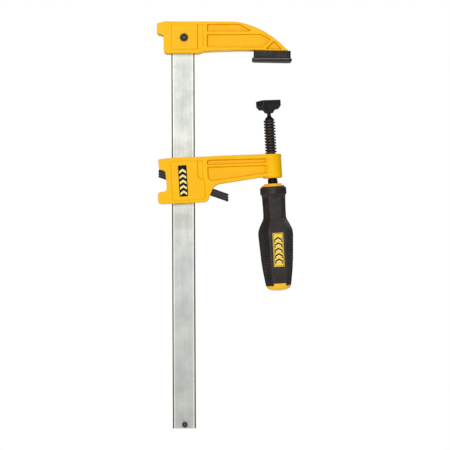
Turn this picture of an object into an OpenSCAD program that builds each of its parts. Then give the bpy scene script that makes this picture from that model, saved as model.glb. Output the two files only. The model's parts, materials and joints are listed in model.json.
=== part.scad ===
// Bar clamp (F clamp) with a multi-plate clutch.
// A flat steel bar carries a fixed jaw at its top and a sliding jaw with a screw, a handle and a swivel pad.
// Millimetres. +Z runs up the bar, +X from the bar towards the screw, +Y from front to back.
// The origin is the centre of the fixed jaw's clamping face.

/* [Bar] */
// Width of the bar
bar_w = 25.4; // [24:0.1:26]
// Thickness of the bar
bar_t = 6.4; // [6:0.1:7]
// How far the bar reaches below the fixed jaw's clamping face
bar_drop = 402.2; // [330:0.1:600]
// Throat: from the bar's edge to the centre of the fixed jaw's pad
throat = 84.9; // [84:0.1:86.5]

/* [Jaws] */
// Half thickness of both jaw castings, front to back
jaw_half = 10.5; // [10:0.1:11.5]
// Height of the raised panels where the castings wrap the bar
panel_rise = 0.9; // [0.4:0.1:1.2]
// Depth of the pockets in the jaws' sides
pocket_depth = 3.4; // [2:0.1:5]
// Lean of the sliding jaw on the bar, the play that lets it bite
jaw_lean = 3; // [2.6:0.1:3.1]
// Height of the sliding jaw's centre below the clamping face
jaw_drop = 130.2; // [118:0.1:300]
// Toe-in of the fixed jaw's pad
pad_toe = 1.2; // [0:0.1:2.5]

/* [Clutch] */
// Thickness of each clutch plate
plate_t = 2.6; // [2:0.1:2.6]
// Width of the clutch plates, front to back
plate_w = 15; // [13:0.1:15]
// Lean of the plates when they grip the bar
plate_lean = 19.6; // [19.4:0.1:19.8]
// Spacing of the plates along the bar
plate_pitch = 2.95; // [2.8:0.05:3]
// How far the plates turn to let go
release_turn = 15; // [10:1:15]

/* [Screw] */
// Outer diameter of the screw thread
thread_d = 12.7; // [12:0.1:12.8]
// Thread pitch, eight threads to the inch
thread_pitch = 3.175; // [3:0.025:3.2]
// Distance from the bar's centre to the screw
screw_x = 98; // [97:0.1:99]
// Turn of the swivel pad about the screw
pad_turn = 18; // [0:1:45]
// Turn of the handle about the screw
handle_turn = 6; // [0:1:30]

/* [Hidden] */
$fn = 64;
through = 100;         // longer than any hole that it drills
slip = 0.05;           // clearance round parts that don't move on each other
run = 0.3;             // clearance round parts that slide

// Places that several parts share
bar_x = -(throat + bar_w / 2);
bar_top = 38;
head_pin_d = 5.8;
head_pin_at = [1.5, 26.3];         // from the bar's centre line, and height
head_recess_d = 9.2;
head_recess_depth = 1.6;
stop_pin_d = 6;
stop_pin_up = 4.4;                 // from the bar's lower end
stop_pin_proud = 3.5;
pad_foot = [36, 19, 8.2];          // the fixed jaw's foot inside its pad
pad_floor = 3.4;                   // thickness of the pad under the foot

// Clutch, in the bar's own directions, from the sliding jaw's centre
stack_z = -1.5;
fulcrum_x = 16.4;
fulcrum_z = stack_z + plate_pitch + plate_t / 2 / cos(plate_lean) - fulcrum_x * tan(plate_lean);
plate_back = -27;                  // where the plates end behind the bar
plate_front = 49.3;                // where their tabs end in front of it
plate_slot = [28.1, bar_t + 0.6];
slot_half_y = plate_w / 2 + run;
spring_x = 21.7;
spring_r = 2.5;
spring_wire_r = 0.55;
spring_top = 13;
spring_foot = -3.7;

// Screw, from the sliding jaw's centre, in the leaning jaw's own directions
boss_r = 10.9;
boss_z = [-2.7, 23.8];
thread_root_r = 4.55;
shank_r = 5.4;
thread_z = [-3.6, 62.6];
neck_r = 2.1;
ball_r = 4;
ball_z = 74.5;
tang_r = 4.5;
tang_z = -76;
collar_z = -8.8;
grip_top = -12;
grip_end = -120.8;
dome_end = -126.4;
tab_w = 13.3;
tab_h = 2.5;
label_size = [11.5, 37];           // the handle's label
jaw_label_x = -0.2;
strip_depth = 0.9;                 // the recessed strips beside the panels

// Ball joint shells, all centred on the ball
shell_in_r = ball_r + 0.1;
shell_out_r = ball_r + 1;
socket_r = ball_r + 1.1;

// ---- Outlines ----

function unit(v) = v / norm(v);

// The arc of radius r that rounds corner b between its neighbours a and c
function rounded_corner(a, b, c, r) =
    r == 0 ? [b] :
    let (u = unit(a - b), v = unit(c - b))
    let (half = acos(min(1, max(-1, u * v))) / 2)
    let (centre = b + unit(u + v) * r / sin(half), reach = r / tan(half))
    let (p = b + u * reach - centre, q = b + v * reach - centre)
    let (start = atan2(p[1], p[0]), sweep = (atan2(q[1], q[0]) - start + 540) % 360 - 180)
    let (steps = max(2, ceil(abs(sweep) / 15)))
    [for (i = [0:steps]) centre + r * [cos(start + sweep * i / steps), sin(start + sweep * i / steps)]];

// An outline from [x, y, radius] corners
function outline(corners) =
    let (n = len(corners), flat = [for (k = corners) [k[0], k[1]]])
    [for (i = [0:n - 1])
        each rounded_corner(flat[(i + n - 1) % n], flat[i], flat[(i + 1) % n], corners[i][2])];

function rectangle(w, h, r) =
    outline([[w / 2, h / 2, r], [-w / 2, h / 2, r], [-w / 2, -h / 2, r], [w / 2, -h / 2, r]]);

// Extrudes an outline drawn in X and Z from y0 to y1
module slab(points, y0, y1) {
    translate([0, y1, 0])
        rotate([90, 0, 0])
            linear_extrude(y1 - y0) polygon(points);
}

// Cuts or adds a shape on both sides of a casting, between two distances from its middle
module both_sides(points, near, far) {
    slab(points, near, far);
    slab(points, -far, -near);
}

// A hole or rod along Y
module cross_rod(at, d, y0, y1) {
    translate([at[0], y1, at[1]])
        rotate([90, 0, 0]) cylinder(d = d, h = y1 - y0);
}

// A pin along Y with a cup in each end
module cupped_pin(at, d, half_length, cup_d, cup_depth) {
    difference() {
        cross_rod(at, d, -half_length, half_length);
        for (side = [-1, 1])
            translate([0, side * half_length, 0]) cross_rod(at, cup_d, -cup_depth, cup_depth);
    }
}

// ---- Frames ----

module at_bar() { translate([bar_x, 0, 0]) children(); }
module at_sliding_jaw() { translate([bar_x, 0, -jaw_drop]) children(); }
module leaning() { at_sliding_jaw() rotate([0, -jaw_lean, 0]) children(); }
module at_screw() { leaning() translate([screw_x, 0, 0]) children(); }
module at_ball() { at_screw() translate([0, 0, ball_z]) children(); }
module toed_in() { rotate([0, pad_toe, 0]) children(); }

// ---- Bar and fixed jaw ----

module bar() {
    color("lightgray") at_bar() difference() {
        translate([0, 0, -bar_drop])
            linear_extrude(bar_drop + bar_top) polygon(rectangle(bar_w, bar_t, 1.7));
        cross_rod(head_pin_at, head_pin_d + 2 * slip, -through, through);
        cross_rod([0.6, stop_pin_up - bar_drop], stop_pin_d + 2 * slip, -through, through);
    }
}

nose_r = 94.7;
nose_centre = [42.6, -49.8];
function nose(from, to) = [for (a = [from:-3.7:to - 0.01]) nose_centre + nose_r * [cos(a), sin(a)]];

module fixed_jaw_body() {
    // The head that wraps the bar, with the lug at its back
    slab(outline([[-20.9, 9.2, 3.6], [-20.9, 28.9, 1.8], [-28.3, 31.1, 1.6], [-28.3, 42, 1.4],
        [-19.6, 44.1, 8], [30, 43.8, 0], [30, 11.7, 0], [23.5, 11.4, 6], [17.4, 9.2, 5]]), -jaw_half, jaw_half);
    // The arm with its curved nose
    slab(concat([[29.9, 11.7], [29.9, 43.8], [57, 43.5]], nose(77.8, 40.8), [[112.6, 12.1], [63, 12.6]]),
        -jaw_half, jaw_half);
    // The panel over the bar
    both_sides(outline([[-12.4, 13.6, 1.2], [-12.4, 40.8, 1.2], [16.2, 40.8, 0.6], [16.2, 13.6, 0.6]]),
        jaw_half - 0.1, jaw_half + panel_rise);
}

module fixed_jaw_pockets() {
    floor_y = jaw_half - pocket_depth;
    // The strip beside the panel, with its lower corner cut off
    both_sides(outline([[16.2, 40.8, 0.4], [22.5, 40.8, 0.4], [22.5, 17.8, 0.4], [18.4, 13.6, 0.4], [16.2, 13.6, 0.2]]),
        jaw_half - strip_depth, through);
    both_sides(outline([[26.8, 32.9, 0.8], [26.8, 40.7, 0.8], [62, 40.7, 5], [76, 32.9, 0.8]]), floor_y, through);
    both_sides(outline([[26.8, 15.8, 1], [26.8, 29.6, 0.8], [85.5, 29.6, 3], [96.3, 24, 0.8], [87, 15.2, 1]]),
        floor_y, through);
    both_sides(outline([[90.9, 13.2, 0.4], [99.8, 21.9, 0.5], [108.4, 13.2, 0.4]]), floor_y, through);
}

module fixed_jaw() {
    color("gold") difference() {
        union() {
            at_bar() difference() {
                fixed_jaw_body();
                fixed_jaw_pockets();
            }
            toed_in() translate([-0.5, 0, pad_floor + 5])
                cube([pad_foot[0], pad_foot[1], 10], center = true);
        }
        at_bar() {
            translate([-bar_w / 2 - slip, -bar_t / 2 - slip, -through])
                cube([bar_w + 2 * slip, bar_t + 2 * slip, through + bar_top + slip]);
            cross_rod(head_pin_at, head_pin_d + 2 * slip, -through, through);
            for (side = [-1, 1])
                translate([0, side * (jaw_half + panel_rise + through / 2 - head_recess_depth), 0])
                    cross_rod(head_pin_at, head_recess_d, -through / 2, through / 2);
        }
    }
}

// A rivet with a stepped, dimpled head in each recess
module head_pin() {
    floor_y = jaw_half + panel_rise - head_recess_depth;
    color("dimgray") at_bar() difference() {
        union() {
            cross_rod(head_pin_at, head_pin_d, -floor_y - 0.3, floor_y + 0.3);
            for (side = [-1, 1])
                translate([0, side * (floor_y + slip + 0.4), 0]) {
                    cross_rod(head_pin_at, head_recess_d - 0.6, -0.4, 0.4);
                    cross_rod(head_pin_at, 5, -0.4 - 0.4, 0.4 + 0.4);
                }
        }
        for (side = [-1, 1])
            translate([0, side * (floor_y + slip + 1.4), 0]) cross_rod(head_pin_at, 2.4, -0.8, 0.8);
    }
}

module stop_pin() {
    color("dimgray") at_bar()
        cupped_pin([0.6, stop_pin_up - bar_drop], stop_pin_d, bar_t / 2 + stop_pin_proud, 4, 1.2);
}

module fixed_jaw_pad() {
    pad_h = 11.6;
    color("#262626") toed_in() difference() {
        union() {
            // The cap round the foot, and the wider lip at the clamping face
            translate([0.2, 0, 0.8]) linear_extrude(pad_h - 0.8) polygon(rectangle(40.4, 22.8, 2.6));
            translate([0, 0, 0.9]) linear_extrude(2.7) polygon(rectangle(43.6, 24.6, 3.6));
            linear_extrude(0.95) polygon(rectangle(42, 23, 3.2));
        }
        translate([-0.5 - pad_foot[0] / 2 - slip, -pad_foot[1] / 2 - slip, pad_floor - slip])
            cube([pad_foot[0] + 2 * slip, pad_foot[1] + 2 * slip, through]);
        // The sunk panel on each side, open towards the bar and edged by a rim at the nose
        both_sides(outline([[-30, 4.4, 0], [-30, 20, 0], [16.9, 20, 0], [16.9, 4.4, 1]]), 10.7, through);
    }
}

// ---- Sliding jaw ----

module sliding_jaw_body() {
    floor_y = jaw_half - pocket_depth;
    difference() {
        slab(outline([
            [-26.2, 24.7, 1.2], [-17, 25.4, 30], [60, 24.7, 80], [screw_x, 23.8, 0], [screw_x, -0.4, 0],
            [86, -1, 12], [34, -6.4, 9], [24.8, -25, 5], [-28.8, -24.5, 3.4], [-28.4, -11.2, 3.4],
            [-18.5, -10.4, 3], [-18.5, 0, 0], [-19.3, 11.6, 1.4], [-25.8, 13.6, 1.1]]),
            -jaw_half, jaw_half);
        both_sides(outline([[27.3, 15.7, 0.8], [27.3, 20.9, 1.4], [96, 18.8, 0], [96, 14.4, 0]]), floor_y, through);
        both_sides(outline([[27.3, -2.4, 4.5], [27.3, 13.2, 1], [96, 11.6, 0], [96, 3.4, 0]]), floor_y, through);
        // The strip beside the panel, with its lower end cut at a slant
        both_sides(outline([[16.4, 20.8, 0.4], [22, 20.8, 0.4], [22, -1.4, 0.3], [16.4, 2.4, 0.3]]),
            jaw_half - strip_depth, through);
    }
    // The panel over the bar, wider below the strip
    both_sides(outline([[-12.6, -21.4, 1.2], [-12.6, 20.8, 1.2], [16.4, 20.8, 0.5], [16.4, 2.2, 0.5],
        [23.2, -2.4, 0.5], [23.2, -21.4, 2.5]]), jaw_half - 0.1, jaw_half + panel_rise);
    // The boss that is tapped for the screw
    translate([screw_x, 0, 0]) rotate_extrude() polygon([[0, boss_z[0]], [boss_r - 1.3, boss_z[0]],
        [boss_r - 0.4, boss_z[0] + 0.4], [boss_r, boss_z[0] + 1.3], [boss_r, boss_z[1] - 0.7],
        [boss_r - 0.7, boss_z[1]], [0, boss_z[1]]]);
}

// The room that the clutch plates sweep between gripping and letting go, seen from the front
module clutch_room() {
    gap = run + 0.1;
    fulcrum_gap = 0.12;
    released = plate_lean - release_turn;
    top = fulcrum_z + fulcrum_gap;
    bottom = fulcrum_z - 2 * plate_pitch - plate_t / cos(plate_lean) - gap;
    far = 60;
    near = 40;
    slab([
        [-near, top + (fulcrum_x + near) * tan(plate_lean) + gap],
        [fulcrum_x - 1, top + 1 * tan(plate_lean)],
        [fulcrum_x, top],
        [fulcrum_x + 1, top - 1 * tan(released)],
        [far, top - (far - fulcrum_x) * tan(released) + gap],
        [far, bottom - (far - fulcrum_x) * tan(plate_lean)],
        [fulcrum_x, bottom],
        [-near, bottom + (fulcrum_x + near) * tan(released)]],
        -slot_half_y, slot_half_y);
}

module sliding_jaw() {
    channel_w = bar_w + 3.1;
    channel_t = bar_t + 2 * run;
    color("gold") difference() {
        leaning() difference() {
            sliding_jaw_body();
            translate([-channel_w / 2, -channel_t / 2, -through / 2]) cube([channel_w, channel_t, through]);
            translate([screw_x, 0, -through / 2]) cylinder(d = thread_d + 2 * slip, h = through);
            // A shallow seat for the label, on the front panel
            translate([jaw_label_x, -jaw_half - panel_rise, -0.4]) cube([9.5, 0.6, 34.2], center = true);
        }
        at_sliding_jaw() clutch_room();
        at_sliding_jaw() translate([spring_x, 0, -7])
            cylinder(r = spring_r + spring_wire_r + 0.4, h = spring_top + 7 + slip);
    }
}

module jaw_label() {
    color("black") leaning() translate([jaw_label_x, -jaw_half - panel_rise + 0.1, -0.4])
        cube([9.3, 0.3, 34], center = true);
}

// A tube swept along points, each ring square to the way to its neighbours
module tube(points, r, sides) {
    n = len(points);
    way = [for (i = [0:n - 1]) unit(points[min(i + 1, n - 1)] - points[max(i - 1, 0)])];
    rings = [for (i = [0:n - 1])
        let (u = unit(cross(way[i], [0, 0, 1])), v = cross(u, way[i]))
        for (k = [0:sides - 1]) points[i] + r * (u * cos(360 * k / sides) + v * sin(360 * k / sides))];
    walls = [for (i = [0:n - 2], k = [0:sides - 1])
        [i * sides + k, (i + 1) * sides + k, (i + 1) * sides + (k + 1) % sides, i * sides + (k + 1) % sides]];
    start_cap = [[for (k = [0:sides - 1]) k]];
    end_cap = [[for (k = [0:sides - 1]) n * sides - 1 - k]];
    polyhedron(points = rings, faces = concat(walls, start_cap, end_cap), convexity = 10);
}

module clutch_spring() {
    turns = 7;
    steps = 16;
    low = spring_foot + spring_wire_r;
    high = spring_top - spring_wire_r;
    coil = [for (i = [0:turns * steps])
        let (share = i / (turns * steps))
        [spring_x + spring_r * cos(360 * i / steps), spring_r * sin(360 * i / steps), low + (high - low) * share]];
    color("silver") at_sliding_jaw() tube(coil, spring_wire_r, 8);
}

// One clutch plate; level counts the plates up from the middle one. Its ends line up with the other plates' ends.
module clutch_plate(level) {
    reach_back = plate_back / cos(plate_lean);
    reach_front = plate_front / cos(plate_lean);
    color("#2b2b2b") at_sliding_jaw()
        translate([0, 0, stack_z + level * plate_pitch])
            rotate([0, plate_lean, 0]) difference() {
                translate([reach_back, -plate_w / 2, -plate_t / 2])
                    cube([reach_front - reach_back, plate_w, plate_t]);
                translate([-plate_slot[0] / 2, -plate_slot[1] / 2, -plate_t])
                    cube([plate_slot[0], plate_slot[1], 2 * plate_t]);
            }
}

module clutch_plate_top() { clutch_plate(1); }
module clutch_plate_middle() { clutch_plate(0); }
module clutch_plate_bottom() { clutch_plate(-1); }

// ---- Screw and handle ----

// One side of the trapezoid thread: out to the crest and back to the root, from z upwards
function thread_tooth(z) = let (r = thread_d / 2, p = thread_pitch)
    [[thread_root_r, z], [r, z + 0.16 * p], [r, z + 0.4 * p], [thread_root_r, z + 0.56 * p]];

module screw() {
    turns = floor((thread_z[1] - thread_z[0]) / thread_pitch);
    teeth = [for (i = [0:turns - 1]) each thread_tooth(thread_z[0] + (i + 0.2) * thread_pitch)];
    color("#2f2f2f") at_screw() {
        rotate_extrude() polygon(concat(
            [[0, collar_z], [shank_r, collar_z], [shank_r, thread_z[0]], [thread_root_r, thread_z[0]]], teeth,
            [[thread_root_r, thread_z[1]], [4.4, thread_z[1] + 0.6], [3.1, thread_z[1] + 1.7],
                [2.4, thread_z[1] + 3], [neck_r, thread_z[1] + 4.6], [neck_r, ball_z], [0, ball_z]]));
        translate([0, 0, ball_z]) sphere(r = ball_r);
        // The flatted tang that the handle is moulded on
        translate([0, 0, tang_z]) intersection() {
            cylinder(r = tang_r, h = collar_z - tang_z);
            translate([-tang_r, -3.6, 0]) cube([2 * tang_r, 7.2, collar_z - tang_z]);
        }
    }
}

// The collar and the stem that the grip is moulded over, down to the height given
module core_stem(end) {
    rotate_extrude() polygon([[0, collar_z], [9.9, collar_z], [9.9, collar_z - 1.4], [12.2, collar_z - 1.8],
        [12.2, grip_top], [8.6, grip_top], [8.6, -46], [10.6, -58], [10.6, -114], [11.9, -118], [11.9, end], [0, end]]);
}

// The dome under the grip's end
module core_dome() {
    rotate_extrude() polygon([[0, grip_end], [13.6, grip_end], [13.4, grip_end - 1.2], [12.2, grip_end - 2.9],
        [9.6, grip_end - 4.4], [5.4, grip_end - 5.3], [0, dome_end]]);
}

// The places of the two tabs at the handle's end, from the core out to the distance given
module end_tabs(reach) {
    for (side = [0, 180])
        rotate([0, 0, handle_turn + side])
            translate([-tab_w / 2, -reach, grip_end - 0.5]) cube([tab_w, reach - 8.4, tab_h + 0.5]);
}

module handle_core() {
    color("gold") at_screw() difference() {
        union() {
            core_stem(grip_end - 0.5);
            core_dome();
            end_tabs(12.7);
        }
        translate([0, 0, tang_z - slip]) intersection() {
            cylinder(r = tang_r + slip, h = through);
            translate([-through / 2, -3.6 - slip, 0]) cube([through, 7.2 + 2 * slip, through]);
        }
    }
}

module handle_grip() {
    color("#2e2c2b") at_screw() difference() {
        union() {
            // The round flange at the top, then the six-sided neck and body
            rotate_extrude() polygon([[9.6, grip_top], [13.4, grip_top], [14.5, -13.8], [14.5, -20.2], [12.1, -23.1],
                [9.6, -23.1]]);
            rotate([0, 0, handle_turn]) rotate_extrude($fn = 6) polygon([
                [0, -18], [13.6, -18], [13.1, -24], [12.8, -33], [12.7, -41], [12.9, -46.5], [15.8, -52.5],
                [18.4, -58], [19.5, -63], [19.2, -71], [17.9, -93], [16.7, -104], [15.1, -115], [14.3, grip_end],
                [0, grip_end]]);
        }
        core_stem(grip_end - 5);
        end_tabs(through / 2);
        on_front_flat() translate([0, -0.6, 0]) cube([label_size[0] + 0.2, 2, label_size[1] + 0.2], center = true);
    }
}

// The label's place on the handle's front flat, with its outer face in the plane y = 0
module on_front_flat() {
    rotate([0, 0, handle_turn]) translate([0, -16.1, -81.4]) rotate([3.2, 0, 0]) children();
}

module handle_label() {
    color("gold") at_screw() on_front_flat()
        translate([0, 0.15, 0]) cube([label_size[0], 0.5, label_size[1]], center = true);
}

// ---- Swivel pad ----

// The part of a ball joint shell that lies between two heights above the ball's centre
module shell_zone(z0, z1) {
    intersection() {
        difference() {
            sphere(r = shell_out_r);
            sphere(r = shell_in_r);
        }
        translate([0, 0, z0]) cylinder(r = 2 * shell_out_r, h = z1 - z0);
    }
}

module ball_seat() { color("white") at_ball() shell_zone(1.1, through); }
module retaining_ring() { color("silver") at_ball() shell_zone(-2.7, -0.9); }

module swivel_pad() {
    color("#303030") at_ball() difference() {
        union() {
            translate([0, 0, -5.7]) cylinder(r1 = 4.3, r2 = 7, h = 3.8);
            translate([0, 0, -1.9]) cylinder(r = 7, h = 4);
            rotate([0, 0, pad_turn]) translate([0, 0, 1.2]) linear_extrude(4.6) polygon(rectangle(17, 17, 2));
        }
        sphere(r = socket_r);
        translate([0, 0, -6]) cylinder(r1 = 3.45, r2 = 3.3, h = 4);
    }
}

module swivel_pad_cap() {
    wide = 22.4;
    narrow = 16.6;
    low = -1.9;
    rim = 2.6;
    top = 8.2;
    half_side = [[-narrow / 2, low], [narrow / 2, low], [wide / 2, rim], [wide / 2, top - 0.5], [wide / 2 - 0.5, top],
        [-wide / 2 + 0.5, top], [-wide / 2, top - 0.5], [-wide / 2, rim]];
    color("#1c1c1c") at_ball() rotate([0, 0, pad_turn]) difference() {
        intersection() {
            translate([0, 0, low]) linear_extrude(top - low) polygon(rectangle(wide, wide, 2.6));
            slab(half_side, -wide, wide);
            rotate([0, 0, 90]) slab(half_side, -wide, wide);
        }
        translate([0, 0, 1.2 - slip]) linear_extrude(4.6 + 2 * slip)
            polygon(rectangle(17 + 2 * slip, 17 + 2 * slip, 2));
        translate([0, 0, -through / 2]) cylinder(r = 7 + slip, h = through / 2 + 2);
    }
}

bar();
fixed_jaw();
head_pin();
fixed_jaw_pad();
stop_pin();
sliding_jaw();
clutch_spring();
jaw_label();
clutch_plate_top();
clutch_plate_middle();
clutch_plate_bottom();
ball_seat();
screw();
handle_core();
handle_grip();
handle_label();
retaining_ring();
swivel_pad();
swivel_pad_cap();
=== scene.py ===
"""Looks of the bar clamp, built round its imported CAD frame.

Metres, with +Z up the bar and +Y away from the camera. Profiles and small details are in mm, times MM.
"""

import json
import math

import bmesh
import bpy
import numpy as np
from mathutils import Matrix, Vector


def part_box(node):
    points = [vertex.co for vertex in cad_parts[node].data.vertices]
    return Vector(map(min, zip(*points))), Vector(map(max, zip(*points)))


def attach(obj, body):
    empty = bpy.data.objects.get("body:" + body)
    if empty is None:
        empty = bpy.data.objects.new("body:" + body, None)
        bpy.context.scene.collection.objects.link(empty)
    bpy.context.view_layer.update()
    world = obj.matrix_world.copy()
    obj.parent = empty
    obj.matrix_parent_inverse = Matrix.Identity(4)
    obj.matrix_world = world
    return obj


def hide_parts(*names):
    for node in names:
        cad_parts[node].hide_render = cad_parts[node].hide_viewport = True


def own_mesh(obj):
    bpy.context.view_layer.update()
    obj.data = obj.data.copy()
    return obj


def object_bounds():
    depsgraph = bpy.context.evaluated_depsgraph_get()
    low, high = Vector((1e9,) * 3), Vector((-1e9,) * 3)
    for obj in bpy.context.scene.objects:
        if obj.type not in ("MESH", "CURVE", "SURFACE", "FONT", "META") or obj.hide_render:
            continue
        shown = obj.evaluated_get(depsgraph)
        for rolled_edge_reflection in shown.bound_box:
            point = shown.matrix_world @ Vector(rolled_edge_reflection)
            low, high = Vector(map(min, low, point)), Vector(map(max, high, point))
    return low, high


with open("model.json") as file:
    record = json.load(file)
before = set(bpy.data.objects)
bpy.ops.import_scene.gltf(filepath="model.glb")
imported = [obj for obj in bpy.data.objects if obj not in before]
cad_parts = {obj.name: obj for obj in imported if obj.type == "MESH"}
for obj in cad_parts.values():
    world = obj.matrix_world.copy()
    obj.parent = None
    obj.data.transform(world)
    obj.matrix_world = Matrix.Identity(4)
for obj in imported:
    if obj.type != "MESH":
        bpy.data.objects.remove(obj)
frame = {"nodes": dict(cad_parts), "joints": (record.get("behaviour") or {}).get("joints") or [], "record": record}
cad_low, cad_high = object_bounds()

MM = 0.001
SHARP_ANGLE = math.radians(35)  # edges that bend more than this are sharp ones
PLATES = ("top", "middle", "bottom")

joints = {j["name"]: j for j in frame["joints"]}
body_of_node = {n: b for b, members in frame["record"]["behaviour"]["bodies"].items() for n in members}


# ---- Places taken from the frame ----

def frame_at(origin, up):
    """A matrix whose Z runs along up and whose Y is the clamp's own Y."""
    z = Vector(up).normalized()
    y = Vector((0, 1, 0))
    x = y.cross(z)
    return Matrix.Translation(Vector(origin)) @ Matrix((x, y, z)).transposed().to_4x4()


# The screw's frame, whose origin is level with the sliding jaw's centre, and the frame on its ball
SCREW = frame_at(joints["screw_turn"]["pos_m"], joints["screw_turn"]["axis"])
BALL = frame_at(joints["pad_spin"]["pos_m"], joints["pad_spin"]["axis"])


def screw_height(node):
    """How far down and up a node reaches along the screw, in millimetres from the screw frame's origin."""
    inverse = SCREW.inverted()
    heights = [(inverse @ v.co).z / MM for v in frame["nodes"][node].data.vertices]
    return min(heights), max(heights)


def flat_frame(node):
    """A frame on the middle of a thin plate's face, with Z along the plate and Y into it.

    Its size comes with it: width, thickness and length.
    """
    co = np.array([v.co for v in frame["nodes"][node].data.vertices])
    centre = (co.min(0) + co.max(0)) / 2
    _, _, axes = np.linalg.svd(co - centre)
    length, width, depth = [Vector(a) for a in axes]
    if length.z < 0:
        length = -length
    if depth.y < 0:
        depth = -depth
    width = depth.cross(length)
    spans = [np.ptp(co @ np.array(a)) for a in (width, depth, length)]
    middle = Vector(co.mean(0)) - depth * spans[1] / 2
    return Matrix.Translation(middle) @ Matrix((width, depth, length)).transposed().to_4x4(), spans


# ---- Node helpers ----

class Nodes:
    """Short calls for building one material's nodes."""

    def __init__(self, name):
        self.material = bpy.data.materials.new(name)
        self.material.use_nodes = True
        self.tree = self.material.node_tree
        self.shader = next(n for n in self.tree.nodes if n.type == "BSDF_PRINCIPLED")
        self.where = self.tree.nodes.new("ShaderNodeTexCoord").outputs["Object"]

    def join(self, value, socket):
        """Links a socket to another node's output, or sets it to a constant."""
        if isinstance(value, bpy.types.NodeSocket):
            self.tree.links.new(value, socket)
        else:
            socket.default_value = value

    def join_colour(self, value, socket):
        """The same for a colour, given as red, green and blue."""
        self.join(value if isinstance(value, bpy.types.NodeSocket) else (*value, 1), socket)

    def stretched(self, x, y, z):
        """The point with each of its coordinates multiplied, for noise that is drawn out along an axis."""
        node = self.tree.nodes.new("ShaderNodeMapping")
        node.inputs["Scale"].default_value = (x, y, z)
        self.join(self.where, node.inputs["Vector"])
        return node.outputs["Vector"]

    def part(self, axis):
        """One coordinate of the point, in metres."""
        node = self.tree.nodes.new("ShaderNodeSeparateXYZ")
        self.join(self.where, node.inputs["Vector"])
        return node.outputs[axis]

    def noise(self, scale, detail=4.0, rough=0.5, where=None):
        """Soft noise about 0.5, finer for a larger scale."""
        node = self.tree.nodes.new("ShaderNodeTexNoise")
        node.inputs["Scale"].default_value = scale
        node.inputs["Detail"].default_value = detail
        node.inputs["Roughness"].default_value = rough
        self.join(where or self.where, node.inputs["Vector"])
        return node.outputs["Fac"]

    def cells(self, scale):
        """The distance to the middle of the nearest of many small cells."""
        node = self.tree.nodes.new("ShaderNodeTexVoronoi")
        node.inputs["Scale"].default_value = scale
        self.join(self.where, node.inputs["Vector"])
        return node.outputs["Distance"]

    def ramp(self, value, low, high, first=0.0, last=1.0):
        """First where the value is at low, last where it is at high, and held at those beyond them."""
        node = self.tree.nodes.new("ShaderNodeMapRange")
        self.join(value, node.inputs["Value"])
        for socket, number in zip(("From Min", "From Max", "To Min", "To Max"), (low, high, first, last)):
            node.inputs[socket].default_value = number
        return node.outputs["Result"]

    def maths(self, kind, a, b=0.0):
        node = self.tree.nodes.new("ShaderNodeMath")
        node.operation = kind
        self.join(a, node.inputs[0])
        self.join(b, node.inputs[1])
        return node.outputs["Value"]

    def vector_maths(self, kind, a, b=(0, 0, 0)):
        node = self.tree.nodes.new("ShaderNodeVectorMath")
        node.operation = kind
        self.join(a, node.inputs[0])
        self.join(b, node.inputs[1])
        return node

    def distance(self, value, middle):
        """How far a length is from a middle value, on either side of it."""
        return self.maths("ABSOLUTE", self.maths("SUBTRACT", value, middle))

    def off_axis(self, place):
        """The point's distance from a frame's Z axis, in metres."""
        away = self.vector_maths("SUBTRACT", self.where, place.translation)
        across = self.vector_maths("CROSS_PRODUCT", away.outputs["Vector"], place.to_3x3().col[2])
        return self.vector_maths("LENGTH", across.outputs["Vector"]).outputs["Value"]

    def along_y_of(self, place):
        """How far the point lies along a frame's Y axis, in metres."""
        axis = place.to_3x3().col[1]
        along = self.vector_maths("DOT_PRODUCT", self.where, axis)
        return self.maths("SUBTRACT", along.outputs["Value"], place.translation.dot(axis))

    def band(self, value, middle_mm, half_mm, soft_mm):
        """1 where a length is near its middle value, falling to 0 on both sides."""
        off = self.distance(value, middle_mm * MM)
        return self.ramp(off, half_mm * MM, (half_mm + soft_mm) * MM, 1, 0)

    def blend(self, share, a, b):
        """The colour a, with a share of the colour b."""
        node = self.tree.nodes.new("ShaderNodeMix")
        node.data_type = "RGBA"
        self.join(share, node.inputs["Factor"])
        self.join_colour(a, node.inputs[6])
        self.join_colour(b, node.inputs[7])
        return node.outputs[2]

    def bends(self, none, full, share):
        """A share that grows with the surface's bend: 0.5 is flat, outer edges have more and corners less."""
        node = self.tree.nodes.new("ShaderNodeNewGeometry")
        return self.ramp(node.outputs["Pointiness"], none, full, 0, share)

    def relief(self, height, depth_mm, strength=1.0, under=None):
        """A bumped normal, laid over another one where it is given."""
        node = self.tree.nodes.new("ShaderNodeBump")
        node.inputs["Strength"].default_value = strength
        node.inputs["Distance"].default_value = depth_mm * MM
        self.join(height, node.inputs["Height"])
        if under is not None:
            self.join(under, node.inputs["Normal"])
        return node.outputs["Normal"]

    def finish(self, colour, rough, normal, metal=0.0, **constants):
        """Joins it all to the shader; a constant's name is its socket's, with _ for each space."""
        self.join_colour(colour, self.shader.inputs["Base Color"])
        self.join(rough, self.shader.inputs["Roughness"])
        self.join(normal, self.shader.inputs["Normal"])
        self.shader.inputs["Metallic"].default_value = metal
        for name, value in constants.items():
            self.shader.inputs[name.replace("_", " ")].default_value = value
        return self.material


# ---- Materials ----

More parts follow.
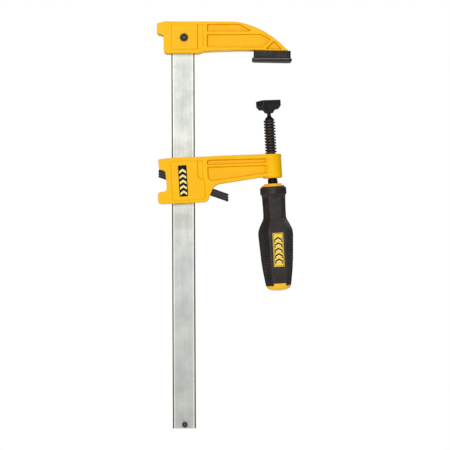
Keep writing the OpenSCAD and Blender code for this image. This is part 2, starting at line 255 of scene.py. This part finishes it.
def yellow_paint():
    """Powder coat over a casting: orange peel over slow waves, with painted shade on its edges and in its corners.
    """
    n = Nodes("yellow_paint")
    tone = n.ramp(n.noise(45, 3), 0.35, 0.65)
    body = n.blend(tone, (0.955, 0.485, 0.0), (0.98, 0.53, 0.0))
    speck = n.ramp(n.noise(1600, 2), 0.62, 0.74, 0, 0.35)
    body = n.blend(speck, body, (0.90, 0.43, 0.003))
    # painted shade: a deeper orange on the outer edges
    body = n.blend(n.bends(0.53, 0.60, 0.75), body, (0.80, 0.33, 0.002))
    # painted shade: a much darker orange in the corners and creases
    body = n.blend(n.bends(0.49, 0.43, 0.95), body, (0.48, 0.13, 0.001))
    waves = n.relief(n.noise(130, 4, 0.6), 0.25, 0.35)
    peel = n.relief(n.noise(1300, 2, 0.4), 0.05, 0.5, waves)
    rough = n.ramp(n.noise(300, 3), 0.3, 0.7, 0.36, 0.5)
    return n.finish(body, rough, peel, Specular_IOR_Level=0.12)


def plated_steel():
    """Drawn flat bar with clear zinc: lines along it and blotches, with painted shade towards the bottom, painted
    highlights on its shoulders and painted dark reflections on its rolled edges.
    """
    n = Nodes("bar_steel")
    low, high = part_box("bar")
    half_width = (high.x - low.x) / 2
    half_depth = (high.y - low.y) / 2
    lines = n.noise(1, 6, 0.65, n.stretched(1900, 1900, 14))
    broad = n.noise(1, 3, 0.5, n.stretched(260, 260, 5))
    blotch = n.noise(34, 5, 0.62)
    spangle = n.cells(230)
    tone = n.maths("ADD", n.maths("MULTIPLY", lines, 0.45), n.maths("MULTIPLY", blotch, 0.55))
    body = n.blend(n.ramp(tone, 0.36, 0.64), (0.42, 0.435, 0.41), (0.66, 0.665, 0.615))
    body = n.blend(n.ramp(n.noise(12, 2), 0.4, 0.65, 0, 0.5), body, (0.52, 0.575, 0.57))
    body = n.blend(n.ramp(broad, 0.55, 0.7, 0, 0.4), body, (0.65, 0.625, 0.53))
    body = n.blend(n.ramp(spangle, 0.0, 0.5, 0.25, 0), body, (0.42, 0.45, 0.44))
    # painted shade: darker towards the bottom of the bar
    body = n.blend(n.ramp(n.part("Z"), -0.38, 0.0, 0.5, 0), body, (0.30, 0.315, 0.295))
    off = n.distance(n.part("X"), (low.x + high.x) / 2)
    off = n.maths("ADD", off, n.ramp(lines, 0.3, 0.7, -0.2 * MM, 0.2 * MM))
    # painted highlight: a bright strip along each shoulder of the bar
    shoulder_highlight = n.maths("MULTIPLY", n.ramp(off, half_width - 3.1 * MM, half_width - 2.5 * MM),
                       n.ramp(off, half_width - 1.6 * MM, half_width - 1.3 * MM, 1, 0))
    body = n.blend(n.maths("MULTIPLY", shoulder_highlight, 0.55), body, (0.80, 0.79, 0.70))
    deep = n.distance(n.part("Y"), (low.y + high.y) / 2)
    # painted reflection: the rolled edges darkened where they meet the faces
    rolled_edge_reflection = n.maths("MULTIPLY", n.ramp(off, half_width - 1.45 * MM, half_width - 1.0 * MM, 0, 0.96),
                     n.ramp(deep, half_depth - 1.6 * MM, half_depth - 0.9 * MM))
    body = n.blend(rolled_edge_reflection, body, (0.035, 0.032, 0.028))
    rough = n.ramp(tone, 0.3, 0.7, 0.6, 0.46)
    drawn = n.relief(lines, 0.03, 0.35)
    dents = n.relief(n.noise(420, 4, 0.7), 0.02, 0.3, drawn)
    return n.finish(body, rough, dents, 0.6, Specular_IOR_Level=0.4)


def black_steel(name, dark, light, edge, wear_and_highlight_share=None):
    """Black oxide over steel, from a dark to a light tone, lighter on its edges unless a given share places it:
    rubbed wear and painted highlight.
    """
    n = Nodes(name)
    body = n.blend(n.ramp(n.noise(160, 5, 0.6), 0.35, 0.68), dark, light)
    # rubbed wear and painted highlight: lighter on the edges
    rub_and_highlight = wear_and_highlight_share(n) if wear_and_highlight_share else n.bends(0.52, 0.60, 0.8)
    body = n.blend(rub_and_highlight, body, edge)
    rough = n.ramp(n.noise(500, 4), 0.3, 0.7, 0.4, 0.6)
    grain = n.relief(n.noise(1, 4, 0.6, n.stretched(900, 2400, 900)), 0.03, 0.4)
    return n.finish(body, rough, grain, 0.1, Specular_IOR_Level=0.2)


def grey_steel_and_glint():
    """Grey steel, lighter than the black, which on the stop pin is a painted glint."""
    n = Nodes("grey_steel_and_glint")
    body = n.blend(n.ramp(n.noise(900, 4), 0.35, 0.65), (0.075, 0.062, 0.058), (0.15, 0.13, 0.12))
    rough = n.ramp(n.noise(700, 3), 0.3, 0.7, 0.35, 0.5)
    return n.finish(body, rough, n.relief(n.noise(2400, 3), 0.02, 0.4), 0.35)


def spring_steel():
    """Bright drawn wire."""
    n = Nodes("spring_steel")
    body = n.blend(n.ramp(n.noise(700, 3), 0.4, 0.6), (0.42, 0.42, 0.42), (0.62, 0.62, 0.60))
    rough = n.ramp(n.noise(900, 2), 0.3, 0.7, 0.25, 0.4)
    return n.finish(body, rough, n.relief(n.noise(1500, 2), 0.01, 0.4), 1.0)


def moulded(name, dark, light, rough, texture_mm, scale, edge_highlight_lift=0.016, edge_from=0.52, wear_and_highlight_share=None):
    """Moulded plastic or rubber with a spark-eroded texture, with a painted highlight along its edges and where a
    given share says.
    """
    n = Nodes(name)
    body = n.blend(n.ramp(n.noise(90, 4), 0.35, 0.65), dark, light)
    edge = tuple(min(1, c * 1.6 + edge_highlight_lift) for c in light)
    # painted highlight: lighter along the outer edges
    body = n.blend(n.bends(edge_from, edge_from + 0.06, 0.7), body, edge)
    if wear_and_highlight_share:
        body = n.blend(wear_and_highlight_share(n), body, (0.15, 0.135, 0.13))
    coarse = n.relief(n.noise(scale, 3, 0.6), texture_mm, 0.5)
    fine = n.relief(n.cells(scale * 2.6), texture_mm * 0.4, 0.4, coarse)
    return n.finish(body, n.ramp(n.noise(240, 4), 0.3, 0.7, *rough), fine, Specular_IOR_Level=0.3)


def print_film(name, colour):
    """A printed film, faintly uneven and slightly glossy."""
    n = Nodes(name)
    body = n.blend(n.ramp(n.noise(500, 3), 0.35, 0.7, 0, 0.4), colour, tuple(c * 0.8 for c in colour))
    rough = n.ramp(n.noise(700, 3), 0.3, 0.7, 0.42, 0.58)
    return n.finish(body, rough, n.relief(n.noise(1800, 2), 0.01, 0.4), Specular_IOR_Level=0.1)


def studio_floor():
    """Matt pale paper with a faint glow, so that it stays pale far from the lights."""
    n = Nodes("studio_floor")
    body = n.blend(n.noise(6, 2), (0.90, 0.90, 0.90), (0.93, 0.93, 0.93))
    return n.finish(body, 0.9, n.relief(n.noise(300, 2), 0.1, 0.1),
                    Emission_Color=(1, 1, 1, 1), Emission_Strength=0.22)


def crest_wear_and_highlight(n):
    """The rubbed wear and painted highlight on the screw: most on the thread's crests and none at its root."""
    return n.ramp(n.off_axis(SCREW), 5.7 * MM, 6.35 * MM, 0, 0.8)


def plate_face_highlights(node):
    """The painted highlight on one clutch plate: a thin line along both faces."""
    place, (_, thickness, _) = flat_frame(node)
    middle_mm = thickness / 2 / MM
    skin_mm = 0.4

    def wear_and_highlight_share(n):
        core = n.band(n.along_y_of(place), middle_mm, half_mm=middle_mm - skin_mm, soft_mm=0.2)
        return n.ramp(core, 0, 1, 0.8, 0)

    return wear_and_highlight_share


def pad_lip_highlight(n):
    """The painted highlight on the fixed jaw's pad: a line along its lip."""
    low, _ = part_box("fixed_jaw_pad")
    height = n.maths("SUBTRACT", n.part("Z"), low.z)
    return n.maths("MULTIPLY", n.band(height, middle_mm=2.9, half_mm=0.35, soft_mm=0.3), 0.85)


BLACK_TONES = (0.005, 0.0035, 0.003), (0.013, 0.0095, 0.0085)  # dark and light

LOOKS = {
    "yellow_paint": yellow_paint(),
    "bar_steel": plated_steel(),
    "black_steel": black_steel(
        "black_steel", dark=(0.010, 0.007, 0.006), light=(0.026, 0.019, 0.017), edge=(0.09, 0.075, 0.065)),
    "thread_steel": black_steel(
        "thread_steel", dark=(0.005, 0.004, 0.004), light=(0.012, 0.009, 0.008), edge=(0.062, 0.048, 0.041),
        wear_and_highlight_share=crest_wear_and_highlight),
    "spring_steel": spring_steel(),
    "grey_steel_and_glint": grey_steel_and_glint(),
    "yellow_plastic": moulded(
        "yellow_plastic", dark=(0.99, 0.49, 0.008), light=(1.0, 0.54, 0.012), rough=(0.34, 0.46),
        texture_mm=0.02, scale=900),
    "black_plastic": moulded(
        "black_plastic", *BLACK_TONES, rough=(0.46, 0.62), texture_mm=0.05, scale=1100, edge_highlight_lift=0.07),
    "pad_plastic": moulded(
        "pad_plastic", *BLACK_TONES, rough=(0.46, 0.62), texture_mm=0.05, scale=1100, edge_highlight_lift=0.07,
        wear_and_highlight_share=pad_lip_highlight),
    "white_plastic": moulded(
        "white_plastic", dark=(0.78, 0.77, 0.72), light=(0.84, 0.83, 0.79), rough=(0.35, 0.5),
        texture_mm=0.02, scale=900),
    # the grip's ribs carry a painted highlight on their crests and edges
    "grip_rubber": moulded(
        "grip_rubber", dark=(0.018, 0.0135, 0.012), light=(0.032, 0.025, 0.0225), rough=(0.46, 0.62),
        texture_mm=0.06, scale=1300, edge_highlight_lift=0.05, edge_from=0.508),
    "label_black": print_film("label_black", (0.003, 0.0025, 0.002)),
    "label_yellow": print_film("label_yellow", (0.97, 0.66, 0.08)),
    "label_cream": print_film("label_cream", (1.0, 0.80, 0.30)),
}
for level in PLATES:
    look = "plate_steel_" + level
    LOOKS[look] = black_steel(
        look, dark=(0.006, 0.005, 0.0045), light=(0.016, 0.0125, 0.011), edge=(0.095, 0.078, 0.071),
        wear_and_highlight_share=plate_face_highlights("clutch_plate_" + level))


# ---- Piece helpers ----

def paint(piece, look):
    """Gives a piece one look in place of any other."""
    piece.data.materials.clear()
    piece.data.materials.append(LOOKS[look])


def shade_smooth(mesh, smooth=True):
    """Shades all of a mesh smoothly, or flat."""
    mesh.polygons.foreach_set("use_smooth", [smooth] * len(mesh.polygons))


def add_object(name, data):
    """Puts a new object with this mesh, light or camera into the scene."""
    added = bpy.data.objects.new(name, data)
    bpy.context.scene.collection.objects.link(added)
    return added


def add_piece(name, mesh, look):
    """Puts a new piece of the clamp into the scene."""
    piece = add_object(name, mesh)
    paint(piece, look)
    return piece


def make_mesh(name, points, faces, smooth=True):
    """A mesh of points in metres and of faces by their points' numbers."""
    mesh = bpy.data.meshes.new(name)
    mesh.from_pydata([tuple(p) for p in points], [], faces)
    mesh.update()
    shade_smooth(mesh, smooth)
    return mesh


def settle(piece):
    """Applies a piece's modifiers to its mesh."""
    bpy.context.view_layer.update()
    shaped = piece.evaluated_get(bpy.context.evaluated_depsgraph_get())
    mesh = bpy.data.meshes.new_from_object(shaped)
    piece.modifiers.clear()
    piece.data = mesh


def goes_with(piece, node):
    """The piece has a CAD node's body."""
    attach(piece, body_of_node[node])
    return piece


def stands_for(piece, node):
    """The piece takes a CAD node's place and body."""
    goes_with(piece, node)
    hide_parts(node)
    return piece


def cast(node, look, voxel_mm, passes):
    """A casting or moulding in the CAD node's shape, with its edges and corners rounded."""
    piece = add_piece(node + "_skin", frame["nodes"][node].data.copy(), look)
    remesh = piece.modifiers.new("skin", "REMESH")
    remesh.mode = "VOXEL"
    remesh.voxel_size = voxel_mm * MM
    soft = piece.modifiers.new("soft", "SMOOTH")
    soft.factor = 0.5
    soft.iterations = passes
    settle(piece)
    shade_smooth(piece.data)
    return stands_for(piece, node)


def dress(node, look, bevel_mm):
    """A CAD node kept as it is, with its material and slightly broken edges."""
    piece = frame["nodes"][node]
    paint(piece, look)
    bevel = piece.modifiers.new("broken_edges", "BEVEL")
    bevel.width = bevel_mm * MM
    bevel.segments = 2
    bevel.limit_method = "ANGLE"
    bevel.angle_limit = SHARP_ANGLE


def tube_faces(count, sides, hollow=False):
    """The faces of a row of rings, capped at both ends or, if hollow, joined from the last to the first."""
    faces = []
    for k in range(count if hollow else count - 1):
        here, there = k * sides, (k + 1) % count * sides
        for i in range(sides):
            j = (i + 1) % sides
            faces.append((here + i, here + j, there + j, there + i))
    if not hollow:
        last = (count - 1) * sides
        faces.append(tuple(reversed(range(sides))))
        faces.append(tuple(last + i for i in range(sides)))
    return faces


def turned_round(faces):
    """The same faces, seen from their other side."""
    return [tuple(reversed(face)) for face in faces]


def rings(profile, radius_at, sides, place):
    """The points of a skin of rings round a frame's Z axis.

    The profile lists (height, key) in mm, and radius_at(key, angles) gives the ring's radii in mm.
    """
    angles = np.arange(sides) * 2 * math.pi / sides
    points = []
    for height, key in profile:
        for angle, r in zip(angles, radius_at(key, angles)):
            points.append(place @ Vector((r * math.cos(angle) * MM, r * math.sin(angle) * MM, height * MM)))
    return points


def round_radius(r, angles):
    """The radius of a ring that is round."""
    return np.full(len(angles), r)


# ---- Screw ----

# Heights along the screw's frame and radii, in mm
THREAD_TOP = 62.6
THREAD_FOOT = -3.6
SHANK_FOOT = -9.2
CREST_R = 6.33
ROOT_R = 4.55
SHANK_R = 5.38
TANG_R = 3.6
NECK_R = 2.1
TOP_FADE = 1.6      # the stretch over which the thread runs out, at its top and at its foot
FOOT_FADE = 1.2
PITCH = 2 * math.pi / frame["record"]["behaviour"]["couplings"][-1]["ratio"] / MM
TOOTH = 0.72        # a tooth's width at the root, as a share of the pitch
FLANK = 0.13        # the width of each of its sloping sides, as a share of the pitch
STEPS_PER_TURN = 22
SCREW_SIDES = 72
BALL_STEPS = 18
# The neck's rows of (height above the thread's top, radius)
NECK = [(0, ROOT_R), (0.5, 4.4), (1.1, 3.9), (1.8, 3.1), (2.5, 2.5), (3.4, 2.18), (4.6, NECK_R),
        (6.6, NECK_R)]


def thread_radius(height, angles):
    """The radius of a right-handed trapezoid thread at one height, faded out at both ends."""
    turn = (height / PITCH - angles / (2 * math.pi)) % 1.0
    rise = np.clip(turn / FLANK, 0, 1) * np.clip((TOOTH - turn) / FLANK, 0, 1)
    rise = rise * rise * (3 - 2 * rise)
    fade = min(1, (THREAD_TOP - height) / TOP_FADE, (height - THREAD_FOOT) / FOOT_FADE)
    return ROOT_R + (CREST_R - ROOT_R) * rise * fade


def screw_radius(key, angles):
    """The radius of one of the screw's rings, whose key is a height on the thread or else a plain radius."""
    kind, value = key
    return thread_radius(value, angles) if kind == "thread" else round_radius(value, angles)


def build_screw():
    """The tang, shank, thread, neck and ball as one turned skin."""
    foot, top = screw_height("screw")
    profile = [(foot, TANG_R - 0.2), (foot + 0.2, TANG_R), (SHANK_FOOT, TANG_R), (SHANK_FOOT + 0.1, SHANK_R),
               (THREAD_FOOT - 0.5, SHANK_R), (THREAD_FOOT, ROOT_R)]
    skin = [(z, ("plain", r)) for z, r in profile]
    steps = int((THREAD_TOP - THREAD_FOOT) / PITCH * STEPS_PER_TURN)
    for k in range(1, steps):
        z = THREAD_FOOT + (THREAD_TOP - THREAD_FOOT) * k / steps
        skin.append((z, ("thread", z)))
    skin += [(THREAD_TOP + dz, ("plain", r)) for dz, r in NECK]
    ball_z = (SCREW.inverted() @ BALL.translation).z / MM
    ball_r = top - ball_z
    start = math.asin(NECK_R / ball_r)
    end = math.pi - 0.02  # just short of the ball's far pole
    for k in range(BALL_STEPS + 1):
        a = start + (end - start) * k / BALL_STEPS
        skin.append((ball_z - ball_r * math.cos(a), ("plain", ball_r * math.sin(a))))
    points = rings(skin, screw_radius, SCREW_SIDES, SCREW)
    mesh = make_mesh("screw_thread", points, tube_faces(len(skin), SCREW_SIDES))
    stands_for(add_piece("screw_thread", mesh, "thread_steel"), "screw")


# ---- Handle ----

# Heights and radii in mm along the screw's frame: the six-sided body's corners, and the round flange above it
BODY = [(-18, 13.6), (-21, 13.35), (-24, 13.1), (-28, 12.95), (-33, 12.8), (-38, 12.7), (-42, 12.7),
        (-44.5, 12.75), (-46.5, 12.95), (-49, 13.9), (-52.5, 15.8), (-55.5, 17.3), (-58, 18.4),
        (-60.5, 19.15), (-63, 19.5), (-66, 19.5), (-71, 19.2), (-82.5, 18.5), (-93, 17.85), (-104, 16.7),
        (-115, 15.05), (-119.6, 14.4), (-120.8, 13.9)]
FLANGE = [(-12, 12.6), (-12.4, 13.5), (-13.4, 14.35), (-14.8, 14.5), (-19.4, 14.5), (-20.4, 14.3),
          (-21.2, 13.5), (-21.9, 12.9), (-22.6, 12.6), (-23.4, 12.5), (-24.2, 12.0), (-25.2, 10.9), (-27, 9)]
GRIP_TOP = FLANGE[0][0]
GRIP_END = BODY[-1][0]
# The bore's rows of (height, radius), from the end up
BORE = [(GRIP_END, 12.0), (-118.2, 11.98), (-114, 10.8), (-58, 10.8), (-46, 8.8), (GRIP_TOP, 8.8)]
# Stretches by first height, last height and the step between rings, which is fine on the flange and the ribs
STRETCHES = [(GRIP_TOP, -28, 0.22), (-28, -62, 0.7), (-62, -116, 0.24), (-116, GRIP_END, 0.4)]
GRIP_SIDES = 216
FLAT_POWER = 50       # how crisp the six corners are
CORNER_SHARE = 0.993  # keeps the corners inside the CAD's
HANDLE_TURN = math.radians(6)
ROUND_ABOVE = -17
RIBBED_FLATS = (1, 2, 4, 5)  # all but the front and the back one
RIB_PITCH = 2.85
RIB_TOP = -62.5
RIB_COUNT = 18
RIB_HEIGHT = 1.1
RIB_HALF_WIDTH = 3.4
RIB_END = 0.6         # the stretch over which a groove fades, at its ends
RIB_ROUNDING = 0.8    # less is a fuller rib
NOTCH = (13.5, 10, 2.8)      # the notches in the end, by width, depth and height
NOTCH_OUT = 15.4
NOTCH_UP = 1.2
SEAT_GAP = 0.5               # round the label, in its width and its length
SEAT_DEPTH = 4
SEAT_Y = -1.55


def along(table, z):
    """Reads a falling table of (height, radius) with straight lines between its rows."""
    heights = [-row[0] for row in table]
    return np.interp(-z, heights, [row[1] for row in table])


def angles_between(angles, facing):
    """How far each angle is from another one, from half a turn back to half a turn on."""
    return (angles - facing + math.pi) % (2 * math.pi) - math.pi


def rib_grooves(z, angles, facing, flat):
    """How deep the grooves between one flat's ribs are at one height."""
    turn = (RIB_TOP - z) / RIB_PITCH
    if not 0 < turn < RIB_COUNT:
        return 0
    away = np.clip(angles_between(angles, facing), -1.2, 1.2)  # the tangent is used on this flat only
    across = np.tan(away) * flat
    wave = max(0.0, math.sin(math.pi * (turn % 1))) ** RIB_ROUNDING
    edge = np.clip((RIB_HALF_WIDTH - np.abs(across)) / RIB_END, 0, 1)
    return RIB_HEIGHT * (1 - wave) * edge


def grip_radius(z, angles):
    """The grip's outer radius: a round flange that runs into a six-sided body, ribbed on four flats."""
    if z > ROUND_ABOVE:
        return round_radius(along(FLANGE, z), angles)
    flat = along(BODY, z) * CORNER_SHARE * math.cos(math.pi / 6) * 2 ** (1 / FLAT_POWER)
    total = np.zeros(len(angles))
    grooves = np.zeros(len(angles))
    for k in range(6):
        facing = math.radians(-90 + 60 * k) + HANDLE_TURN
        total += np.maximum(np.cos(angles - facing), 0) ** FLAT_POWER
        if k in RIBBED_FLATS:
            grooves += rib_grooves(z, angles, facing, flat)
    body = flat * total ** (-1 / FLAT_POWER) - grooves
    if z > FLANGE[-1][0]:
        body = np.maximum(body, along(FLANGE, z))
    return body


def skin_radius(key, angles):
    """The radius of one of the grip's rings, whose key is a height outside or else the bore's radius."""
    kind, value = key
    return grip_radius(value, angles) if kind == "outer" else round_radius(value, angles)


def cutter(name, place, size, centre):
    """A box that is taken out of another piece, then deleted."""
    mesh = bpy.data.meshes.new(name)
    bm = bmesh.new()
    bmesh.ops.create_cube(bm, size=1)
    for v in bm.verts:
        v.co = place @ Vector([(c + u * s) * MM for c, u, s in zip(centre, v.co, size)])
    bm.to_mesh(mesh)
    bm.free()
    return add_object(name, mesh)


def cut_out(piece, boxes):
    """Takes the boxes out of the piece and deletes them."""
    for box in boxes:
        cut = piece.modifiers.new("cut", "BOOLEAN")
        cut.operation = "DIFFERENCE"
        cut.solver = "EXACT"
        cut.object = box
    settle(piece)
    for box in boxes:
        bpy.data.objects.remove(box)


def soften_edges(mesh):
    """Shades a mesh smoothly except across its sharp edges."""
    shade_smooth(mesh)
    bm = bmesh.new()
    bm.from_mesh(mesh)
    for edge in bm.edges:
        edge.smooth = len(edge.link_faces) == 2 and edge.calc_face_angle(0) < SHARP_ANGLE
    bm.to_mesh(mesh)
    bm.free()


def build_grip():
    """The rubber grip round the handle's core, with two notches in its end and a seat for the label."""
    heights = [z for start, stop, step in STRETCHES for z in np.arange(start, stop, -step)] + [GRIP_END]
    skin = [(z, ("outer", z)) for z in heights] + [(z, ("bore", r)) for z, r in BORE]
    points = rings(skin, skin_radius, GRIP_SIDES, SCREW)
    mesh = make_mesh("grip_skin", points, turned_round(tube_faces(len(skin), GRIP_SIDES, hollow=True)))
    piece = add_piece("grip_skin", mesh, "grip_rubber")
    turned = SCREW @ Matrix.Rotation(HANDLE_TURN, 4, "Z")
    boxes = [cutter("end_notch_%d" % k, turned, NOTCH, (0, side * NOTCH_OUT, GRIP_END + NOTCH_UP))
             for k, side in enumerate((-1, 1))]
    place, (width, _, length) = flat_frame("handle_label")
    seat = (width / MM + SEAT_GAP, SEAT_DEPTH, length / MM + SEAT_GAP)
    boxes.append(cutter("label_seat", place, seat, (0, SEAT_Y, 0)))
    cut_out(piece, boxes)
    soften_edges(piece.data)
    stands_for(piece, "handle_grip")


# ---- Rivet and stop pin ----

# Rows of (height out of the pin's end, radius), in mm
RIVET_CENTRE = [(-0.3, 2.48), (-0.06, 2.48), (0.0, 2.4), (0.0, 1.95), (-0.12, 1.85), (-0.12, 1.7), (0.0, 1.6),
                (-0.05, 1.25), (-0.3, 0.85), (-0.42, 0.4), (-0.45, 0.02)]
STOP_PIN_CENTRE = [(-1.2, 1.3), (-0.75, 1.25), (-0.65, 1.1), (-0.65, 0.6), (-0.8, 0.4), (-0.85, 0.02)]
PIN_SIDES = 64


def build_pin_centres(node, profile):
    """The grey middles of a pin's two ends, which on the stop pin are a painted glint."""
    low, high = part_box(node)
    middle = (low + high) / 2
    for name, y, tilt in (("front", low.y, 90), ("back", high.y, -90)):
        end = Vector((middle.x, y, middle.z))
        place = Matrix.Translation(end) @ Matrix.Rotation(math.radians(tilt), 4, "X")
        points = rings(profile, round_radius, PIN_SIDES, place)
        mesh = make_mesh(node + "_centre", points, tube_faces(len(profile), PIN_SIDES))
        goes_with(add_piece("%s_centre_%s" % (node, name), mesh, "grey_steel_and_glint"), node)


# ---- Labels ----

CHEVRON_PITCH = 5.9
CHEVRON_COUNT = 5
MARK_BACK = 0.01  # how far a mark's back lies in front of the label's face, in mm


def raised_marks(name, node, look, outlines, height_mm):
    """Thin printed marks on a label's front face, each an outline in mm across and along the label."""
    place, _ = flat_frame(node)
    bm = bmesh.new()
    for outline in outlines:
        low = [bm.verts.new(place @ Vector((x * MM, -MARK_BACK * MM, z * MM))) for x, z in outline]
        high = [bm.verts.new(place @ Vector((x * MM, -height_mm * MM, z * MM))) for x, z in outline]
        bm.faces.new(list(reversed(low)))
        bm.faces.new(high)
        for i in range(len(outline)):
            j = (i + 1) % len(outline)
            bm.faces.new((low[i], low[j], high[j], high[i]))
    bmesh.ops.recalc_face_normals(bm, faces=bm.faces)
    mesh = bpy.data.meshes.new(name)
    bm.to_mesh(mesh)
    bm.free()
    goes_with(add_piece(name, mesh, look), node)


def chevrons(foot, half, rise, thick):
    """A column of upward chevrons from the foot up, by their half width, rise and thickness."""
    outlines = []
    for k in range(CHEVRON_COUNT):
        z = foot + CHEVRON_PITCH * k
        outlines.append([(-half, z), (0, z + rise), (half, z),
                         (half, z + thick), (0, z + rise + thick), (-half, z + thick)])
    return outlines


def bar_outline(low_x, high_x, low_z, high_z):
    """The outline of an upright rectangle."""
    return [(low_x, low_z), (high_x, low_z), (high_x, high_z), (low_x, high_z)]


def border(half_x, half_z, thick):
    """Four bars round a label."""
    in_x, in_z = half_x - thick, half_z - thick
    return [bar_outline(-half_x, -in_x, -half_z, half_z), bar_outline(in_x, half_x, -half_z, half_z),
            bar_outline(-in_x, in_x, in_z, half_z), bar_outline(-in_x, in_x, -half_z, -in_z)]


def build_labels():
    """Plain chevrons on both labels: cream on the black one, and black with cream inlays on the yellow."""
    dress("jaw_label", "label_black", bevel_mm=0.05)
    marks = chevrons(foot=-15.6, half=3.7, rise=2.6, thick=2.7)
    raised_marks("jaw_label_marks", "jaw_label", "label_cream", marks, height_mm=0.06)
    dress("handle_label", "label_yellow", bevel_mm=0.1)
    marks = chevrons(foot=-15.6, half=4.2, rise=2.6, thick=3.6) + border(half_x=5.15, half_z=17.9, thick=0.45)
    raised_marks("handle_label_marks", "handle_label", "label_black", marks, height_mm=0.04)
    marks = chevrons(foot=-14.9, half=3.1, rise=1.95, thick=1.8)
    raised_marks("handle_label_inlays", "handle_label", "label_cream", marks, height_mm=0.08)


# ---- Clutch spring ----

WIRE_R = 0.55        # in mm
WIRE_SIDES = 14
COIL_TURNS = 7
COIL_STEPS = 40      # in each turn
END_CLOSING = 0.045  # how much the turns crowd at both ends


def build_spring():
    """The clutch spring: one wire, wound from its foot up, with closer turns at its ends."""
    low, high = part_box("clutch_spring")
    centre = (low + high) / 2
    wire = WIRE_R * MM
    coil_r = (high.x - low.x) / 2 - wire
    count = COIL_TURNS * COIL_STEPS
    points = []
    for k in range(count + 1):
        a = 2 * math.pi * k / COIL_STEPS
        share = k / count
        rise = share - END_CLOSING * math.sin(2 * math.pi * share)
        z = low.z + wire + (high.z - low.z - 2 * wire) * rise
        out = Vector((math.cos(a), math.sin(a), 0))
        middle = Vector((centre.x, centre.y, z)) + out * coil_r
        for i in range(WIRE_SIDES):
            b = 2 * math.pi * i / WIRE_SIDES
            points.append(middle + out * (wire * math.cos(b)) + Vector((0, 0, wire * math.sin(b))))
    mesh = make_mesh("clutch_coil", points, turned_round(tube_faces(count + 1, WIRE_SIDES)))
    piece = stands_for(add_piece("clutch_coil", mesh, "spring_steel"), "clutch_spring")
    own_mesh(piece)


# ---- Stage ----

FLOOR_DROP = 0.9
FLOOR_R = 4.6
WORLD_LIGHT = 0.13   # the world's strength for the clamp, and as the camera sees it
WORLD_SEEN = 1.0
LENS_DISTANCE = 1.8
FIELD_WIDTH = 0.495  # what the picture spans at the clamp
SENSOR_MM = 36
CAMERA_X, CAMERA_Z = -0.0521, -0.1790
CAMERA_ROLL = math.radians(0.22)


def softbox(name, offset, side, power):
    """A square light of this side, at an offset from the clamp's centre and turned to it."""
    light = bpy.data.lights.new(name, "AREA")
    light.shape = "SQUARE"
    light.size = side
    light.energy = power
    lamp = add_object(name, light)
    lamp.location = (cad_low + cad_high) / 2 + Vector(offset)
    lamp.rotation_euler = (-Vector(offset)).to_track_quat("-Z", "Y").to_euler()


def build_floor():
    """A round floor well below the clamp."""
    floor_z = cad_low.z - FLOOR_DROP
    rim = []
    for degrees in range(0, 360, 3):
        a = math.radians(degrees)
        rim.append((FLOOR_R * math.cos(a), FLOOR_R * math.sin(a), floor_z))
    mesh = make_mesh("studio_floor", rim, [tuple(range(len(rim)))], smooth=False)
    mesh.materials.append(studio_floor())
    add_object("studio_floor", mesh)


def build_world():
    """A world that is white to the camera and a dim light to the clamp."""
    world = bpy.data.worlds.new("studio")
    bpy.context.scene.world = world
    world.use_nodes = True
    tree = world.node_tree
    background = next(n for n in tree.nodes if n.type == "BACKGROUND")
    background.inputs["Color"].default_value = (1, 1, 1, 1)
    seen = tree.nodes.new("ShaderNodeLightPath")
    level = tree.nodes.new("ShaderNodeMapRange")
    level.inputs["To Min"].default_value = WORLD_LIGHT
    level.inputs["To Max"].default_value = WORLD_SEEN
    tree.links.new(seen.outputs["Is Camera Ray"], level.inputs["Value"])
    tree.links.new(level.outputs["Result"], background.inputs["Strength"])
    bpy.context.scene.view_settings.view_transform = "Standard"


def build_lights():
    """Three soft lights in front of and above the clamp, and one behind it."""
    softbox("key", offset=(-0.5, -2.4, 0.7), side=1.2, power=32)
    softbox("front", offset=(0.4, -2.6, 0.1), side=1.6, power=13)
    softbox("top", offset=(0.1, -0.4, 1.8), side=1.0, power=9)
    softbox("back", offset=(0.5, 2.2, 0.7), side=1.6, power=27)


def build_camera():
    """A long lens, level with the middle of the clamp."""
    data = bpy.data.cameras.new("camera")
    data.sensor_width = SENSOR_MM
    data.lens = SENSOR_MM * LENS_DISTANCE / FIELD_WIDTH
    data.clip_start, data.clip_end = 0.05, 50
    camera = add_object("camera", data)
    camera.location = (CAMERA_X, -LENS_DISTANCE, CAMERA_Z)
    camera.rotation_euler = (math.radians(90), CAMERA_ROLL, 0)
    bpy.context.scene.camera = camera


# ---- The clamp ----

cast("fixed_jaw", "yellow_paint", voxel_mm=0.44, passes=4)
cast("sliding_jaw", "yellow_paint", voxel_mm=0.44, passes=4)
cast("handle_core", "yellow_plastic", voxel_mm=0.34, passes=2)
cast("fixed_jaw_pad", "pad_plastic", voxel_mm=0.26, passes=5)
cast("swivel_pad_cap", "black_plastic", voxel_mm=0.2, passes=4)
cast("swivel_pad", "black_steel", voxel_mm=0.18, passes=3)
dress("bar", "bar_steel", bevel_mm=0.15)
dress("head_pin", "black_steel", bevel_mm=0.15)
build_pin_centres("head_pin", RIVET_CENTRE)
dress("stop_pin", "black_steel", bevel_mm=0.15)
# the stop pin's grey centres are a painted glint
build_pin_centres("stop_pin", STOP_PIN_CENTRE)
for level in PLATES:
    dress("clutch_plate_" + level, "plate_steel_" + level, bevel_mm=0.15)
dress("ball_seat", "white_plastic", bevel_mm=0.08)
dress("retaining_ring", "spring_steel", bevel_mm=0.08)
build_screw()
build_grip()
build_labels()
build_spring()
build_floor()
build_lights()
build_world()
build_camera()
